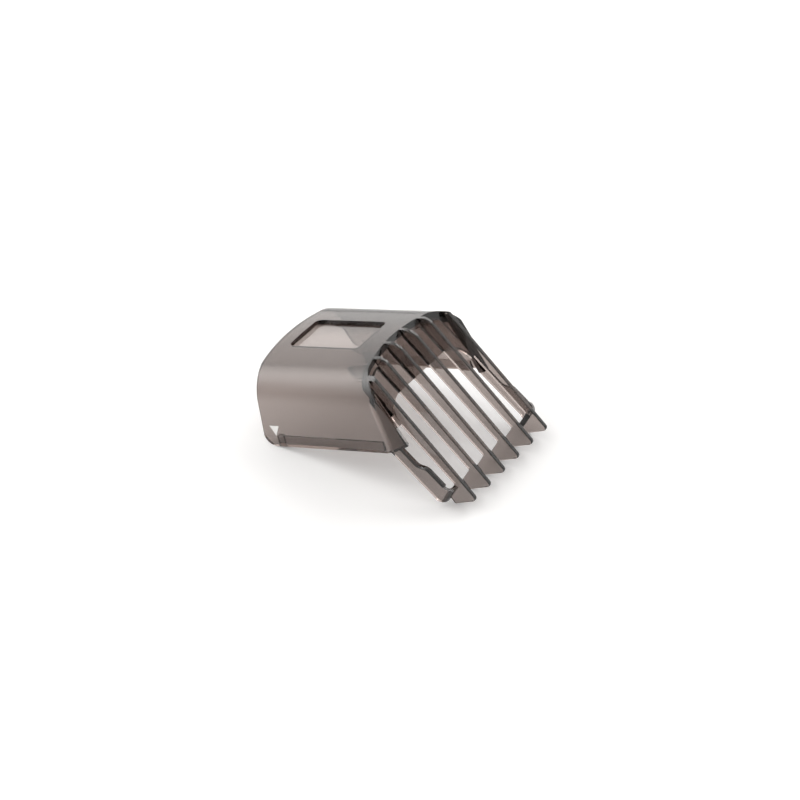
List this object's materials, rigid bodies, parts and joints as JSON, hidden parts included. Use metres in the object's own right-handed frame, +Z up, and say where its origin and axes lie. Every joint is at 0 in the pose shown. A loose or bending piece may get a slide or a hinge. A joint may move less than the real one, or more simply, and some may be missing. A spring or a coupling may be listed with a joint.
{
  "type": "hair clipper comb attachment",
  "caption": "Clip-on guide comb for a hair clipper: arched hood with thumb rest, inner rails and side arms, and sloped fins that hold the blade off the head.",
  "frame": {"origin": "bottom centre of the bounding box, as the comb stands on the hood's rear corners and the tooth heels", "axes": "+X from the hood's open rear towards the tooth tips, +Y across the comb, +Z up; the hood's top rises towards +X by 18.6 degrees"},
  "size_m": [0.063, 0.0416, 0.0281],
  "materials": {
    "smoke_plastic": "glossy smoke-grey translucent moulding",
    "white_fill": "opaque white paint fill"
  },
  "bodies": {
    "root": {"hood": "smoke_plastic", "thumb_rest": "smoke_plastic", "front_panel": "smoke_plastic", "tooth_1": "smoke_plastic", "tooth_2": "smoke_plastic", "tooth_3": "smoke_plastic", "tooth_4": "smoke_plastic", "tooth_5": "smoke_plastic", "tooth_6": "smoke_plastic", "left_rail": "smoke_plastic", "left_cheek": "smoke_plastic", "left_arm": "smoke_plastic", "left_arm_bridge": "smoke_plastic", "left_pointer": "white_fill", "right_rail": "smoke_plastic", "right_cheek": "smoke_plastic", "right_arm": "smoke_plastic", "right_arm_bridge": "smoke_plastic", "right_pointer": "white_fill"}
  },
  "joints": []
}
